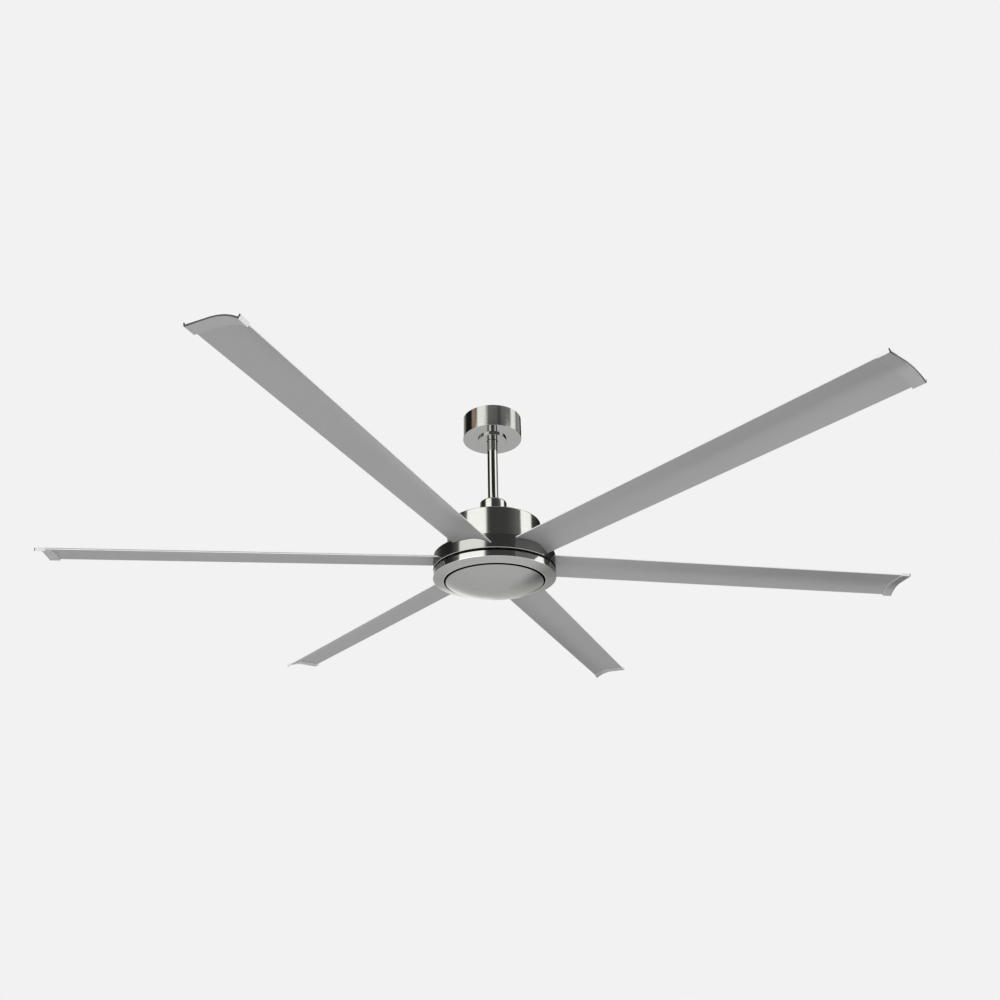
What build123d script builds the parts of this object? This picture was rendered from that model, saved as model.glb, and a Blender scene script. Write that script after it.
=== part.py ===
from build123d import *
from math import asin, cos, degrees, radians, sin, sqrt, tan
import os

# Ceiling fan with six thin cambered blades, hung on a short downrod.
# Millimetres. +Z up. The origin is the middle of the ceiling bracket's top
# face, where it meets the ceiling, so the fan hangs below Z = 0.

# Fits and clearances
seat_gap = 0.3           # between faces that touch on different bodies
slip_gap = 0.1           # between a pin or screw and its hole
running_gap = 2.2        # between fixed and turning covers
run_fit = 0.05           # radial gap of a bearing on its shaft or in its seat

# Ceiling bracket
bracket_length = 124.0
bracket_width = 44.0
bracket_height = 56.6
bracket_sheet = 2.6
box_screw_spacing = 88.9
box_screw_hole_radius = 2.6
seat_ring_radius = 28.0
seat_ring_height = 9.0
canopy_screw_spacing = 62.0
canopy_screw_radius = 2.0
canopy_screw_head_radius = 2.8
canopy_screw_head = 2.0
lead_hole_radius = 9.0

# Canopy and the cover that hides its screws
canopy_radius = 74.0
canopy_height = 57.5
canopy_wall = 1.5
canopy_edge_radius = 0.7
canopy_below_ceiling = 1.0
canopy_hole_radius = 23.5
cover_radius = 36.0
cover_height = 5.0
cover_wall = 1.5
cover_edge_radius = 0.8

# Hanger ball and downrod
ball_radius = 26.0
ball_centre_depth = 42.0
ball_top_cut = 14.0
ball_bottom_cut = 17.0
ball_key_width = 5.0
ball_key_depth = 3.0
ball_key_gap = 0.6
rod_radius = 12.8
rod_wall = 2.5
rod_length = 254.0
rod_above_ball_centre = 18.0
ball_pin_radius = 3.0
ball_pin_length = 44.0
ball_pin_rise = 7.0
ball_pin_bevel = 0.75
swing_limit = 2.5        # degrees each way

# Coupling between the rod and the motor
coupling_radius = 22.0
coupling_bevel = 1.5
coupling_flange_radius = 40.0
coupling_flange_thickness = 6.0
coupling_grip = 30.0     # length of rod inside the coupling
coupling_pin_radius = 3.0
coupling_pin_length = 52.0
coupling_pin_rise = 16.0
coupling_pin_head = 1.5
coupling_pin_head_radius = 4.5
coupling_nose_radius = 13.0
clip_wire_radius = 0.9
clip_leg = 11.0
clip_clearance = 0.9
set_screw_radius = 3.0
set_screw_socket = 1.5
set_screw_rise = 6.0
set_screw_proud = 1.0

# Collar over the coupling
collar_radius = 32.6
collar_wall = 1.5
collar_height = 64.5
collar_edge_radius = 5.5
collar_hole_gap = 0.5

# Motor housing
rod_to_housing = 22.5    # from the rod's lower end down to the housing's top
housing_radius = 113.0
housing_height = 79.5
housing_wall = 1.5
housing_edge_radius = 2.5
housing_screw_count = 4
housing_screw_angle = 45.0
housing_screw_radius = 1.8
housing_screw_head_radius = 3.2
housing_screw_head = 2.2

# Shaft and bearings
shaft_radius = 10.0
shaft_wall = 3.5
shaft_bevel = 0.8
shaft_in_coupling = 18.0
shaft_below_pan = 9.0
shaft_thread_proud = 1.5
bearing_radius = 21.0
bearing_width = 12.0
bearing_ball_radius = 3.2
bearing_ball_count = 9
race_thickness = 2.9
seat_wall = 5.0

# Stator
stator_radius = 80.5
stator_height = 20.0
stator_hub_radius = 44.0
stator_hub_rim = 5.0
stator_hub_openings = 6
core_back_thickness = 8.0
stator_slots = 12
slot_opening_angle = 6.0
tooth_width = 11.0
tooth_shoe = 4.0
tooth_bite = 2.0         # length of a tooth sunk in the back ring and in the shoe
winding_build = 5.0
winding_end_gap = 2.0

# Rotor can and magnets
air_gap = 1.3
magnet_thickness = 4.2
magnet_count = 24
magnet_gap_angle = 1.6
magnet_overhang = 2.0
rotor_wall = 4.5
rotor_height = 58.0
rotor_top_thickness = 4.0
rotor_flange = 8.0
rotor_screw_count = 6
vent_count = 6
vent_hole_radius = 9.0
pan_screw_radius = 2.0   # plain screws of the rotor and of the blade ring
pan_screw_head_radius = 3.5
pan_screw_head = 2.4

# Driver board and what stands on it
board_radius = 82.0
board_thickness = 1.6
board_below_flange = 4.0
board_hole_gap = 4.0
board_post_radius = 3.0
board_post_inset = 8.0
board_post_count = 3
board_post_angle = 15.0
capacitor_radius = 5.0
capacitor_height = 8.5
capacitor_count = 5
capacitor_spread = 140.0
module_width = 14.0
module_length = 18.0
module_height = 6.0
module_count = 3
module_start = 175.0
module_spread = 80.0
block_width = 10.0
block_length = 22.0
block_height = 3.4
block_count = 2
block_start = 285.0
block_spread = 50.0

# Flywheel that carries the blades
flywheel_disc_thickness = 4.0
flywheel_disc_margin = 4.5
flywheel_hub_radius = 66.0
flywheel_hub_wall = 6.0
flange_thickness = 5.0
flange_above_ring_edge = 2.5

# Blade ring, the upper of the two bright rings
ring_radius = 144.6
ring_wall = 3.0
ring_edge_bevel = 0.8
blade_ring_height = 34.4
blade_ring_lip = 34.0
lip_thickness = 1.8
ring_gap = 6.0           # dark gap between the two rings
slot_clearance = 0.9
lug_width = 16.0
lug_reach = 11.0
lug_thickness = 4.0

# Blades
blade_count = 6
first_blade_angle = 7.4  # degrees from +X at rest
sweep_radius = 1016.0
blade_root_inset = 47.6  # from the blade ring's outside in to the blade's root
blade_lead = 43.0        # flat leading part, ahead of the blade's own line
blade_crown = 3.0        # distance the flat part ends ahead of that line
blade_curve_radius = 90.0
blade_trail = 46.8       # plan reach of the drooping trailing part
blade_thickness = 2.8
blade_below_rim = 8.5    # underside below the blade ring's top, at the ring
blade_droop = 1.12       # degrees down towards the tip
blade_screw_radius = 2.5
blade_screw_head_radius = 4.6
blade_screw_socket = 1.5
blade_screw_inner = 7.5  # from the root out to the two inner screws
blade_screw_outer = 28.0 # from the root out to the third screw
blade_screw_lead = 36.0  # from the blade's own line to its leading screw
blade_screw_pitch = 26.0

# Saddles under the blade roots
saddle_length = 36.0
saddle_setback = 1.0
saddle_lead_inset = 2.0
saddle_trail_inset = 1.0 # degrees of the trailing curve left bare
pocket_across = 18.0
pocket_width = 30.0
pocket_margin = 6.0
pocket_depth = 4.0
pocket_corner = 4.0

# Tip caps
cap_length = 22.0
cap_sheet = 1.6
cap_floor = 2.5
cap_gap = 0.4            # between the blade's edges and the cap's sides
cap_side_height = 4.5
cap_side_tilt = 20.0     # degrees that the sides lean out

# Lower ring, which is one pan with its top plate, and the dome
lower_wall_height = 14.4
lower_skirt_drop = 7.2
skirt_width = 25.7
skirt_edge_radius = 0.8
pan_sheet = 2.0
dome_gap = 3.6
dome_drop = 1.2          # from the skirt's lower edge down to the dome's rim
dome_depth = 27.3
dome_sheet = 1.4
dome_edge = 7.0
dome_edge_radius = 0.6
bayonet_inset = 9.9
bayonet_wall = 1.5
bayonet_tab = 4.0
bayonet_tab_angle = 24.0
bayonet_count = 3
nut_across_flats = 30.0

# Heights worked out from the ceiling down
canopy_top = -canopy_below_ceiling
canopy_bottom = canopy_top - canopy_height
cover_bottom = canopy_bottom - cover_height
ball_centre = -ball_centre_depth
ball_pin_height = ball_centre + ball_pin_rise
rod_top = ball_centre + rod_above_ball_centre
rod_bottom = rod_top - rod_length
coupling_top = rod_bottom + coupling_grip
coupling_pin_height = rod_bottom + coupling_pin_rise
set_screw_height = rod_bottom + set_screw_rise
housing_top = rod_bottom - rod_to_housing
housing_bottom = housing_top - housing_height
flange_top = housing_top - housing_wall
flange_bottom = flange_top - coupling_flange_thickness
blade_ring_top = housing_bottom - running_gap
blade_ring_bottom = blade_ring_top - blade_ring_height
pan_top = blade_ring_bottom - ring_gap
pan_plate_bottom = pan_top - pan_sheet
lower_wall_bottom = pan_top - lower_wall_height
skirt_bottom = lower_wall_bottom - lower_skirt_drop
hook_bottom = skirt_bottom + dome_edge
dome_rim = skirt_bottom - dome_drop
flywheel_flange_bottom = blade_ring_bottom + flange_above_ring_edge
flywheel_flange_top = flywheel_flange_bottom + flange_thickness
disc_bottom = housing_bottom + running_gap
disc_top = disc_bottom + flywheel_disc_thickness
rotor_top = disc_top + rotor_height
lower_bearing_bottom = disc_top - flywheel_disc_thickness / 2
lower_bearing_top = lower_bearing_bottom + bearing_width
upper_bearing_bottom = rotor_top - rotor_top_thickness / 2 - bearing_width
upper_bearing_top = upper_bearing_bottom + bearing_width
stator_bottom = (disc_top + rotor_top - stator_height) / 2
board_top = flange_bottom - board_below_flange
shaft_top = flange_top + shaft_in_coupling
shaft_bottom = pan_plate_bottom - shaft_below_pan

# Radii worked out from the pieces that fit each other
rod_bore_radius = rod_radius + slip_gap
pan_screw_hole_radius = pan_screw_radius + slip_gap
blade_screw_hole_radius = blade_screw_radius + slip_gap
sleeve_radius = shaft_radius + race_thickness
outer_race_radius = bearing_radius - race_thickness
bearing_seat_radius = bearing_radius + seat_wall
race_middle = (shaft_radius + bearing_radius) / 2
core_back = stator_hub_radius + core_back_thickness
tooth_end = stator_radius - tooth_shoe
magnet_outer_radius = stator_radius + air_gap + magnet_thickness
rotor_radius = magnet_outer_radius + rotor_wall
rotor_flange_radius = rotor_radius + rotor_flange
rotor_screw_circle = rotor_radius + rotor_flange / 2
flywheel_disc_radius = rotor_flange_radius + flywheel_disc_margin
flywheel_bore = flywheel_hub_radius - flywheel_hub_wall
flange_radius = ring_radius - ring_wall - seat_gap
lug_circle = ring_radius - ring_wall - lug_reach / 2
blade_root_radius = ring_radius - blade_root_inset
housing_screw_circle = (coupling_radius + collar_radius - collar_wall) / 2
cover_hole_radius = rod_radius + seat_gap + (ball_centre - cover_bottom) * sin(radians(swing_limit))
lower_inner_radius = ring_radius - skirt_width
dome_radius = lower_inner_radius - dome_gap
bayonet_radius = dome_radius - bayonet_inset

# Angles round the fan
blade_pitch_angle = 360 / blade_count
between_blades = first_blade_angle + blade_pitch_angle / 2

os.makedirs("parts", exist_ok=True)


def keep(piece, node):
    """Label one finished piece and write it as the node's file."""
    piece.label = node
    export_step(piece, f"parts/{node}.step")


def rim(part, radius, height):
    """Round edge of a part, by its radius and its height."""
    circles = part.edges().filter_by(GeomType.CIRCLE)
    return circles.sort_by(lambda edge: abs(edge.radius - radius) + abs(edge.arc_center.Z - height))[0]


def ring_sector(outer_radius, inner_radius, start, angle):
    """Flat piece of a ring, closed along its two ends."""
    with BuildSketch() as sector:
        with BuildLine():
            outer = CenterArc((0, 0), outer_radius, start, angle)
            inner = CenterArc((0, 0), inner_radius, start, angle)
            Line(outer @ 0, inner @ 0)
            Line(outer @ 1, inner @ 1)
        make_face()
    return sector.sketch


# Ceiling bracket
with BuildPart() as hanger_bracket:
    with BuildSketch(Plane.XZ):
        with Locations((0, -bracket_height / 2)):
            Rectangle(bracket_length, bracket_height)
            Rectangle(bracket_length - 2 * bracket_sheet, bracket_height - 2 * bracket_sheet, mode=Mode.SUBTRACT)
    extrude(amount=bracket_width / 2, both=True)
    fillet(hanger_bracket.edges().filter_by(Axis.Y).group_by(Axis.X)[-1], bracket_sheet)
    fillet(hanger_bracket.edges().filter_by(Axis.Y).group_by(Axis.X)[0], bracket_sheet)
    with BuildSketch(Plane.XY.offset(-bracket_height)):
        Circle(seat_ring_radius)
    extrude(amount=seat_ring_height)
    with Locations((0, 0, ball_centre)):
        Sphere(ball_radius + seat_gap, mode=Mode.SUBTRACT)
    with BuildSketch(Plane.XY):
        with GridLocations(box_screw_spacing, 0, 2, 1):
            Circle(box_screw_hole_radius)
        Circle(lead_hole_radius)
    extrude(amount=-bracket_sheet, mode=Mode.SUBTRACT)
    with BuildSketch(Plane.XY.offset(-bracket_height)):
        with GridLocations(canopy_screw_spacing, 0, 2, 1):
            Circle(canopy_screw_radius + slip_gap)
    extrude(amount=bracket_sheet, mode=Mode.SUBTRACT)
    key_reach = ball_radius - ball_key_depth
    with BuildSketch(Plane.XY.offset(-bracket_height + bracket_sheet)):
        with Locations((0, key_reach / 2 + seat_ring_radius / 2)):
            Rectangle(ball_key_width, seat_ring_radius - key_reach)
    extrude(amount=seat_ring_height - bracket_sheet)
keep(hanger_bracket.part, "hanger_bracket")

# Canopy, a straight cup with a flat floor
with BuildPart() as canopy:
    with BuildSketch(Plane.XY.offset(canopy_bottom)):
        Circle(canopy_radius)
    extrude(amount=canopy_height)
    fillet(canopy.faces().sort_by(Axis.Z)[0].edges(), canopy_edge_radius)
    with BuildSketch(Plane.XY.offset(canopy_bottom + canopy_wall)):
        Circle(canopy_radius - canopy_wall)
    extrude(amount=canopy_height, mode=Mode.SUBTRACT)
    with BuildSketch(Plane.XY.offset(canopy_bottom)):
        Circle(canopy_hole_radius)
        with GridLocations(canopy_screw_spacing, 0, 2, 1):
            Circle(canopy_screw_radius + slip_gap)
    extrude(amount=canopy_wall, mode=Mode.SUBTRACT)
keep(canopy.part, "canopy")

# Two screws that hold the canopy up to the bracket
with BuildPart() as canopy_screws:
    with BuildSketch(Plane.XY.offset(canopy_bottom - canopy_screw_head)):
        with GridLocations(canopy_screw_spacing, 0, 2, 1):
            Circle(canopy_screw_head_radius)
    extrude(amount=canopy_screw_head)
    with BuildSketch(Plane.XY.offset(canopy_bottom)):
        with GridLocations(canopy_screw_spacing, 0, 2, 1):
            Circle(canopy_screw_radius)
    extrude(amount=-bracket_height + bracket_sheet - canopy_bottom + canopy_screw_radius)
keep(canopy_screws.part, "canopy_screws")

# Cover under the canopy, a flat disc that hides the screws and the ball
with BuildPart() as canopy_cover:
    with BuildSketch(Plane.XY.offset(cover_bottom)):
        Circle(cover_radius)
    extrude(amount=cover_height)
    fillet(canopy_cover.faces().sort_by(Axis.Z)[0].edges(), cover_edge_radius)
    with BuildSketch(Plane.XY.offset(cover_bottom + cover_wall)):
        Circle(cover_radius - cover_wall)
    extrude(amount=cover_height, mode=Mode.SUBTRACT)
    with BuildSketch(Plane.XY.offset(cover_bottom)):
        Circle(cover_hole_radius)
    extrude(amount=cover_wall, mode=Mode.SUBTRACT)
keep(canopy_cover.part, "canopy_cover")

# Hanger ball, cut flat above and below, with a keyway and a pin slot
key_swing = seat_gap + (ball_centre + bracket_height) * sin(radians(swing_limit))
with BuildPart() as hanger_ball:
    with Locations((0, 0, ball_centre)):
        Sphere(ball_radius)
    split(bisect_by=Plane.XY.offset(ball_centre + ball_top_cut), keep=Keep.BOTTOM)
    split(bisect_by=Plane.XY.offset(ball_centre - ball_bottom_cut), keep=Keep.TOP)
    with BuildSketch(Plane.XY.offset(ball_centre - ball_radius)):
        Circle(rod_bore_radius)
    extrude(amount=2 * ball_radius, mode=Mode.SUBTRACT)
    with BuildSketch(Plane.XY.offset(ball_centre - ball_radius)):
        with Locations((0, ball_radius)):
            Rectangle(ball_key_width + 2 * ball_key_gap, 2 * (ball_key_depth + key_swing))
    extrude(amount=2 * ball_radius, mode=Mode.SUBTRACT)
    with BuildSketch(Plane.YZ.offset(-ball_radius)):
        with Locations((0, ball_pin_height)):
            Circle(ball_pin_radius + slip_gap)
        with Locations((0, ball_pin_height + ball_radius / 2)):
            Rectangle(2 * (ball_pin_radius + slip_gap), ball_radius)
    extrude(amount=2 * ball_radius, mode=Mode.SUBTRACT)
keep(hanger_ball.part, "hanger_ball")

# Pin through the rod's top that rests in the ball's slot
with BuildPart() as ball_pin:
    with BuildSketch(Plane.YZ.offset(-ball_pin_length / 2)):
        with Locations((0, ball_pin_height)):
            Circle(ball_pin_radius)
    extrude(amount=ball_pin_length)
    chamfer(ball_pin.edges().filter_by(GeomType.CIRCLE), ball_pin_bevel)
keep(ball_pin.part, "ball_pin")

# Downrod, a plain tube with a cross hole near each end
with BuildPart() as downrod:
    with BuildSketch(Plane.XY.offset(rod_bottom)):
        Circle(rod_radius)
        Circle(rod_radius - rod_wall, mode=Mode.SUBTRACT)
    extrude(amount=rod_length)
    with BuildSketch(Plane.YZ.offset(-rod_radius)):
        with Locations((0, ball_pin_height)):
            Circle(ball_pin_radius + slip_gap)
        with Locations((0, coupling_pin_height)):
            Circle(coupling_pin_radius + slip_gap)
    extrude(amount=2 * rod_radius, mode=Mode.SUBTRACT)
keep(downrod.part, "downrod")

# Coupling, a cast cup on a round flange, with a nose that rests on the bearing
with BuildPart() as coupling:
    with BuildSketch(Plane.XY.offset(flange_bottom)):
        Circle(coupling_flange_radius)
    extrude(amount=coupling_flange_thickness)
    with BuildSketch(Plane.XY.offset(flange_top)):
        Circle(coupling_radius)
    extrude(amount=coupling_top - flange_top)
    chamfer(coupling.faces().sort_by(Axis.Z)[-1].edges(), coupling_bevel)
    with BuildSketch(Plane.XY.offset(upper_bearing_top)):
        Circle(coupling_nose_radius)
    extrude(amount=flange_bottom - upper_bearing_top)
    with BuildSketch(Plane.XY.offset(upper_bearing_top)):
        Circle(shaft_radius + run_fit)
    extrude(amount=shaft_top - upper_bearing_top, mode=Mode.SUBTRACT)
    with BuildSketch(Plane.XY.offset(shaft_top)):
        Circle(shaft_radius - shaft_wall)
    extrude(amount=rod_bottom - shaft_top, mode=Mode.SUBTRACT)
    with BuildSketch(Plane.XY.offset(rod_bottom)):
        Circle(rod_bore_radius)
    extrude(amount=coupling_grip, mode=Mode.SUBTRACT)
    with BuildSketch(Plane.YZ.offset(-coupling_radius)):
        with Locations((0, coupling_pin_height)):
            Circle(coupling_pin_radius + slip_gap)
    extrude(amount=2 * coupling_radius, mode=Mode.SUBTRACT)
    with BuildSketch(Plane.XZ.offset(-coupling_radius)):
        with Locations((0, set_screw_height)):
            Circle(set_screw_radius + slip_gap)
    extrude(amount=2 * coupling_radius, mode=Mode.SUBTRACT)
    with BuildSketch(Plane.XY.offset(flange_bottom)):
        with PolarLocations(housing_screw_circle, housing_screw_count, housing_screw_angle):
            Circle(housing_screw_radius + slip_gap)
    extrude(amount=coupling_flange_thickness, mode=Mode.SUBTRACT)
keep(coupling.part, "coupling")

# Headed pin through the coupling and the rod
coupling_pin_end = coupling_pin_length / 2
clip_place = coupling_radius + clip_wire_radius + seat_gap
with BuildPart() as coupling_pin:
    with BuildSketch(Plane.YZ.offset(-coupling_pin_end)):
        with Locations((0, coupling_pin_height)):
            Circle(coupling_pin_radius)
    extrude(amount=coupling_pin_length)
    with BuildSketch(Plane.YZ.offset(-coupling_pin_end)):
        with Locations((0, coupling_pin_height)):
            Circle(coupling_pin_head_radius)
    extrude(amount=-coupling_pin_head)
    with BuildSketch(Plane.XY.offset(coupling_pin_height - coupling_pin_radius)):
        with Locations((clip_place, 0)):
            Circle(clip_wire_radius + slip_gap)
    extrude(amount=2 * coupling_pin_radius, mode=Mode.SUBTRACT)
keep(coupling_pin.part, "coupling_pin")

# Wire clip that keeps the pin in: a leg through the pin and a bowed leg over it
clip_bow = (coupling_pin_radius + clip_wire_radius + clip_clearance) / 2
with BuildPart() as pin_clip:
    with BuildLine(Plane.YZ.offset(clip_place)) as clip_path:
        leg = Line((0, coupling_pin_height - clip_leg / 2), (0, coupling_pin_height + clip_leg))
        bow = JernArc(start=leg @ 1, tangent=leg % 1, radius=clip_bow, arc_size=-180)
        Line(bow @ 1, (2 * clip_bow, coupling_pin_height))
    with BuildSketch(Plane.XY.offset(coupling_pin_height - clip_leg / 2)):
        with Locations((clip_place, 0)):
            Circle(clip_wire_radius)
    sweep(path=clip_path.wires()[0])
keep(pin_clip.part, "pin_clip")

# Two set screws that steady the rod in the coupling
with BuildPart() as set_screws:
    for side in (-1, 1):
        with BuildSketch(Plane.XZ.offset(side * (rod_radius + slip_gap))):
            with Locations((0, set_screw_height)):
                Circle(set_screw_radius)
                RegularPolygon(set_screw_socket, 6, mode=Mode.SUBTRACT)
        extrude(amount=side * (coupling_radius - rod_radius + set_screw_proud))
keep(set_screws.part, "set_screws")

# Collar over the coupling, with a rounded shoulder
with BuildPart() as collar:
    with BuildSketch(Plane.XY.offset(housing_top)):
        Circle(collar_radius)
    extrude(amount=collar_height)
    fillet(collar.faces().sort_by(Axis.Z)[-1].edges(), collar_edge_radius)
    with BuildSketch(Plane.XY.offset(housing_top)):
        Circle(collar_radius - collar_wall)
    extrude(amount=collar_height - collar_edge_radius, mode=Mode.SUBTRACT)
    with BuildSketch(Plane.XY.offset(housing_top)):
        Circle(rod_radius + collar_hole_gap)
    extrude(amount=collar_height, mode=Mode.SUBTRACT)
keep(collar.part, "collar")

# Motor housing, a cup open below with a rounded top edge
with BuildPart() as motor_housing:
    with BuildSketch(Plane.XY.offset(housing_bottom)):
        Circle(housing_radius)
    extrude(amount=housing_height)
    fillet(motor_housing.faces().sort_by(Axis.Z)[-1].edges(), housing_edge_radius)
    with BuildSketch(Plane.XY.offset(housing_bottom)):
        Circle(housing_radius - housing_wall)
    extrude(amount=housing_height - housing_wall, mode=Mode.SUBTRACT)
    with BuildSketch(Plane.XY.offset(flange_top)):
        Circle(coupling_radius + slip_gap)
        with PolarLocations(housing_screw_circle, housing_screw_count, housing_screw_angle):
            Circle(housing_screw_radius + slip_gap)
    extrude(amount=housing_wall, mode=Mode.SUBTRACT)
keep(motor_housing.part, "motor_housing")

# Screws that hold the housing to the coupling's flange
with BuildPart() as housing_screws:
    with BuildSketch(Plane.XY.offset(housing_top)):
        with PolarLocations(housing_screw_circle, housing_screw_count, housing_screw_angle):
            Circle(housing_screw_head_radius)
    extrude(amount=housing_screw_head)
    with BuildSketch(Plane.XY.offset(flange_bottom)):
        with PolarLocations(housing_screw_circle, housing_screw_count, housing_screw_angle):
            Circle(housing_screw_radius)
    extrude(amount=coupling_flange_thickness + housing_wall)
keep(housing_screws.part, "housing_screws")

# Hollow shaft from the coupling down to the nut under the pan
with BuildPart() as motor_shaft:
    with BuildSketch(Plane.XY.offset(shaft_bottom)):
        Circle(shaft_radius)
        Circle(shaft_radius - shaft_wall, mode=Mode.SUBTRACT)
    extrude(amount=shaft_top - shaft_bottom)
    chamfer(motor_shaft.faces().sort_by(Axis.Z)[0].edges(), shaft_bevel)
keep(motor_shaft.part, "motor_shaft")

# Sleeve on the shaft between the lower bearing and the pan
with BuildPart() as shaft_sleeve:
    with BuildSketch(Plane.XY.offset(pan_top)):
        Circle(sleeve_radius)
        Circle(shaft_radius + run_fit, mode=Mode.SUBTRACT)
    extrude(amount=lower_bearing_bottom - pan_top)
keep(shaft_sleeve.part, "shaft_sleeve")


def race(inner, outer, bottom):
    """One bearing ring with a round groove for the balls."""
    with BuildPart() as ring:
        with BuildSketch(Plane.XZ):
            with Locations(((inner + outer) / 2, bottom + bearing_width / 2)):
                Rectangle(outer - inner, bearing_width)
            with Locations((race_middle, bottom + bearing_width / 2)):
                Circle(bearing_ball_radius + seat_gap, mode=Mode.SUBTRACT)
        revolve(axis=Axis.Z)
    return ring.part


# Two bearings: inner races, outer races and balls
bearing_bottoms = {"lower": lower_bearing_bottom, "upper": upper_bearing_bottom}
for place, bottom in bearing_bottoms.items():
    keep(race(shaft_radius + run_fit, sleeve_radius, bottom), f"{place}_inner_race")
    keep(race(outer_race_radius, bearing_radius - run_fit, bottom), f"{place}_outer_race")

with BuildPart() as bearing_balls:
    for bottom in bearing_bottoms.values():
        with Locations((0, 0, bottom + bearing_width / 2)):
            with PolarLocations(race_middle, bearing_ball_count):
                Sphere(bearing_ball_radius)
keep(bearing_balls.part, "bearing_balls")

# Stator core: a back ring, one tooth to each slot, and a curved shoe on each
slot_angle = 360 / stator_slots
with BuildPart() as stator_core:
    with BuildSketch(Plane.XY.offset(stator_bottom)):
        Circle(core_back)
        with PolarLocations((core_back + tooth_end) / 2, stator_slots):
            Rectangle(tooth_end - core_back + 2 * tooth_bite, tooth_width)
        Circle(stator_hub_radius, mode=Mode.SUBTRACT)
    extrude(amount=stator_height)
    shoe_angle = slot_angle - slot_opening_angle
    with BuildSketch(Plane.XY.offset(stator_bottom)):
        for slot in range(stator_slots):
            add(ring_sector(stator_radius, tooth_end, slot * slot_angle - shoe_angle / 2, shoe_angle))
    extrude(amount=stator_height)
keep(stator_core.part, "stator_core")

# One coil round each tooth
coil_length = tooth_end - core_back - 2 * winding_end_gap
with BuildPart() as stator_windings:
    with BuildSketch(Plane.XY.offset(stator_bottom - winding_build)):
        with PolarLocations((core_back + tooth_end) / 2, stator_slots):
            Rectangle(coil_length, tooth_width + 2 * winding_build)
    extrude(amount=stator_height + 2 * winding_build)
    with BuildSketch(Plane.XY.offset(stator_bottom - slip_gap)):
        with PolarLocations((core_back + tooth_end) / 2, stator_slots):
            Rectangle(coil_length + winding_end_gap, tooth_width + 2 * slip_gap)
    extrude(amount=stator_height + 2 * slip_gap, mode=Mode.SUBTRACT)
keep(stator_windings.part, "stator_windings")

# Hub that holds the core on the shaft, lightened by round openings
with BuildPart() as stator_hub:
    with BuildSketch(Plane.XY.offset(lower_bearing_top)):
        Circle(sleeve_radius)
    extrude(amount=upper_bearing_bottom - lower_bearing_top)
    with BuildSketch(Plane.XY.offset(stator_bottom)):
        Circle(stator_hub_radius - slip_gap)
    extrude(amount=stator_height)
    with BuildSketch(Plane.XY.offset(stator_bottom)):
        with PolarLocations((sleeve_radius + stator_hub_radius) / 2, stator_hub_openings):
            Circle((stator_hub_radius - sleeve_radius) / 2 - stator_hub_rim)
    extrude(amount=stator_height, mode=Mode.SUBTRACT)
    with BuildSketch(Plane.XY.offset(lower_bearing_top)):
        Circle(shaft_radius + run_fit)
    extrude(amount=upper_bearing_bottom - lower_bearing_top, mode=Mode.SUBTRACT)
keep(stator_hub.part, "stator_hub")

# Rotor can: drum, top plate with the upper bearing's seat, and a bottom flange
with BuildPart() as rotor_can:
    with BuildSketch(Plane.XY.offset(disc_top)):
        Circle(rotor_radius)
        Circle(magnet_outer_radius, mode=Mode.SUBTRACT)
    extrude(amount=rotor_height)
    with BuildSketch(Plane.XY.offset(disc_top)):
        Circle(rotor_flange_radius)
        Circle(magnet_outer_radius, mode=Mode.SUBTRACT)
    extrude(amount=rotor_top_thickness)
    with BuildSketch(Plane.XY.offset(rotor_top)):
        Circle(rotor_radius)
    extrude(amount=-rotor_top_thickness)
    with BuildSketch(Plane.XY.offset(rotor_top)):
        Circle(bearing_seat_radius)
    extrude(amount=upper_bearing_bottom - rotor_top)
    with BuildSketch(Plane.XY.offset(upper_bearing_bottom)):
        Circle(bearing_radius)
    extrude(amount=bearing_width, mode=Mode.SUBTRACT)
    with BuildSketch(Plane.XY.offset(upper_bearing_bottom)):
        Circle(outer_race_radius)
    extrude(amount=rotor_height, mode=Mode.SUBTRACT)
    with BuildSketch(Plane.XY.offset(disc_top)):
        with PolarLocations(rotor_screw_circle, rotor_screw_count, between_blades):
            Circle(pan_screw_hole_radius)
    extrude(amount=rotor_top_thickness, mode=Mode.SUBTRACT)
    with BuildSketch(Plane.XY.offset(rotor_top)):
        with PolarLocations((bearing_seat_radius + rotor_radius) / 2, vent_count):
            Circle(vent_hole_radius)
    extrude(amount=-rotor_top_thickness, mode=Mode.SUBTRACT)
keep(rotor_can.part, "rotor_can")

# Magnets on the drum's inner wall, level with the stator
magnet_step = 360 / magnet_count
magnet_inner_radius = magnet_outer_radius - magnet_thickness
with BuildPart() as rotor_magnets:
    with BuildSketch(Plane.XY.offset(stator_bottom - magnet_overhang)):
        for index in range(magnet_count):
            start = index * magnet_step
            add(ring_sector(magnet_outer_radius, magnet_inner_radius, start, magnet_step - magnet_gap_angle))
    extrude(amount=stator_height + 2 * magnet_overhang)
keep(rotor_magnets.part, "rotor_magnets")

# Driver board over the rotor, hung by posts from the coupling's flange
with BuildPart() as driver_board:
    with BuildSketch(Plane.XY.offset(board_top)):
        Circle(board_radius)
        Circle(coupling_nose_radius + board_hole_gap, mode=Mode.SUBTRACT)
    extrude(amount=-board_thickness)
    with BuildSketch(Plane.XY.offset(board_top)):
        with PolarLocations(coupling_flange_radius - board_post_inset, board_post_count, board_post_angle):
            Circle(board_post_radius)
    extrude(amount=board_below_flange)
keep(driver_board.part, "driver_board")

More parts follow.
